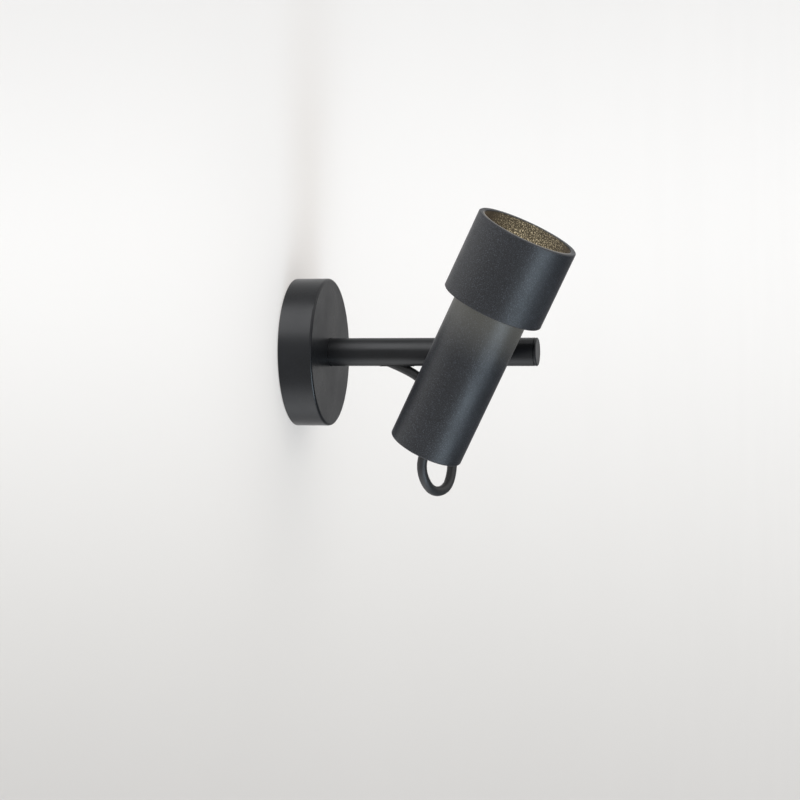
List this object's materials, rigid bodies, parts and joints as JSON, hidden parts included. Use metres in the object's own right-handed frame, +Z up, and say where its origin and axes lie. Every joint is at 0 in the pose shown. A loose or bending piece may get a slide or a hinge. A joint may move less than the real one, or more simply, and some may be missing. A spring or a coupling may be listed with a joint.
{
  "type": "pivoting spotlight wall light",
  "caption": "Wall spotlight: round rose, straight swivelling arm, and a cylindrical head with a wide open ring round its lamp, tilting beside the arm on a friction pivot.",
  "frame": {"origin": "centre of the rose's back face, on the wall", "axes": "+X out of the wall along the arm, +Z up, -Y towards the side of the arm that the head is on"},
  "size_m": [0.199, 0.1285, 0.1944],
  "materials": {
    "rose_coat": "satin",
    "arm_coat": "satin",
    "head_coat": "matte",
    "zinc_plate": "satin",
    "screw_steel": "satin",
    "machined_steel": "satin",
    "machined_aluminium": "satin",
    "bronze": "satin",
    "bright_pin": "gloss",
    "washer_nylon": "satin",
    "black_nylon": "matte",
    "terminal_plastic": "satin",
    "black_rubber": "matte",
    "flex_sheath": "matte",
    "lead_insulation": "satin",
    "holder_ceramic": "matte",
    "lamp_ceramic": "satin",
    "reflector_glass": "gloss",
    "lens_glass": "gloss"
  },
  "bodies": {
    "rose": {"rose_cover": "rose_coat", "back_plate": "zinc_plate", "swivel_bridge": "zinc_plate", "bridge_screws": "screw_steel", "swivel_bush": "bronze", "swivel_stop_pin": "screw_steel", "swivel_friction_washer": "washer_nylon", "terminal_block": "terminal_plastic", "terminal_screws": "screw_steel", "terminal_fixing_screw": "screw_steel", "earth_screw": "bronze", "cover_screw": "screw_steel", "rose_leads": "lead_insulation"},
    "arm": {"arm_tube": "arm_coat", "arm_end_plug": "arm_coat", "swivel_spigot": "machined_steel", "swivel_spring_washer": "screw_steel", "swivel_nut": "screw_steel", "cable_grommet": "black_rubber", "pivot_slug": "machined_steel", "pivot_boss": "arm_coat", "tilt_friction_washer": "washer_nylon", "pivot_disc_springs": "screw_steel", "pivot_nut": "screw_steel", "supply_lead": "flex_sheath", "head_cord": "flex_sheath"},
    "head": {"head_saddle": "head_coat", "tilt_stop_pin": "screw_steel", "inner_saddle": "machined_aluminium", "pivot_bolt": "screw_steel", "holder_bracket": "zinc_plate", "body_tube": "head_coat", "tail_cap": "head_coat", "tail_screw": "screw_steel", "cord_grip": "black_nylon", "grip_nut": "black_nylon", "lampholder": "holder_ceramic", "holder_screws": "screw_steel", "lamp_base": "lamp_ceramic", "lamp_pins": "bright_pin", "lamp_reflector": "reflector_glass", "lamp_lens": "lens_glass", "lamp_leads": "lead_insulation", "shade_spider": "head_coat", "shade_screws": "screw_steel", "shade_ring": "head_coat"}
  },
  "joints": [
    {"name": "arm_swivel", "type": "hinge", "parent": "rose", "child": "arm", "pos_m": [0, 0, 0], "axis": [1, 0, 0], "range_deg": [-160, 160], "deforming": ["rose_leads"]},
    {"name": "head_tilt", "type": "hinge", "parent": "arm", "child": "head", "pos_m": [0.1254, 0, 0], "axis": [0, 1, 0], "range_deg": [-27, 63], "deforming": ["head_cord"]}
  ]
}
